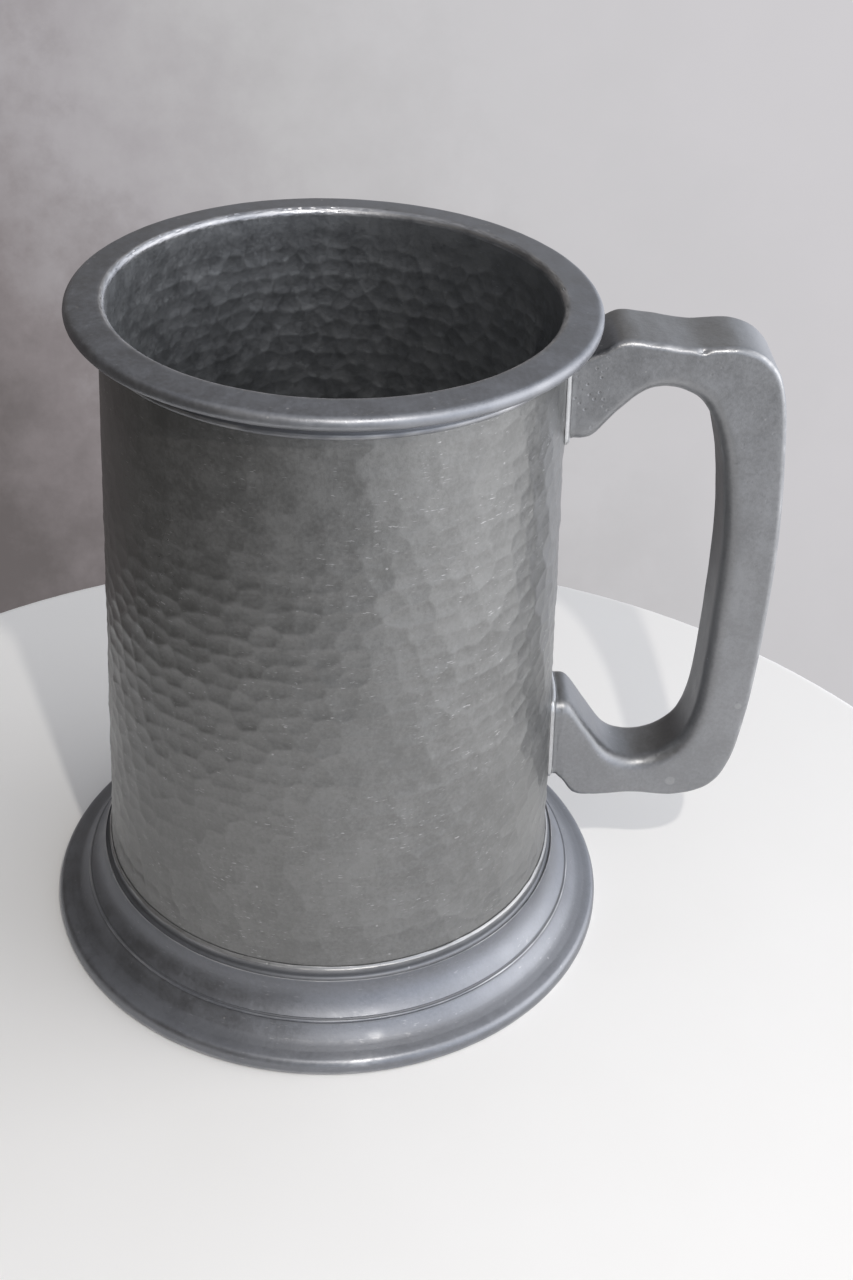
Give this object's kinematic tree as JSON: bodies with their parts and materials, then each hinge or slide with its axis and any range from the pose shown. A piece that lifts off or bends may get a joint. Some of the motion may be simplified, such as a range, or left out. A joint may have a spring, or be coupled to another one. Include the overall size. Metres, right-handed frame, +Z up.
{
  "type": "pewter mug",
  "caption": "Hammered pewter mug with a barrel that widens downwards, a broad turned lip, a flared hollow foot and a flat-sided cast handle soldered to the barrel.",
  "frame": {"origin": "centre of the foot on the table plane", "axes": "+Z up the barrel's axis, +X from the axis towards the handle, +Y across the handle"},
  "size_m": [0.1333, 0.1082, 0.1274],
  "materials": {
    "hammered_pewter": "aged pewter sheet, hammered all over, dull grey with a soft sheen",
    "turned_pewter": "aged pewter, turned smooth, with bright worn edges",
    "cast_pewter": "aged cast pewter, flat-sided, edges worn bright",
    "solder": "brighter soft solder, slightly uneven"
  },
  "bodies": {
    "root": {"barrel": "hammered_pewter", "lip_ring": "turned_pewter", "foot_ring": "turned_pewter", "floor_disc": "hammered_pewter", "handle": "cast_pewter", "upper_handle_solder": "solder", "lower_handle_solder": "solder", "foot_solder": "solder", "floor_solder": "solder"}
  },
  "joints": []
}
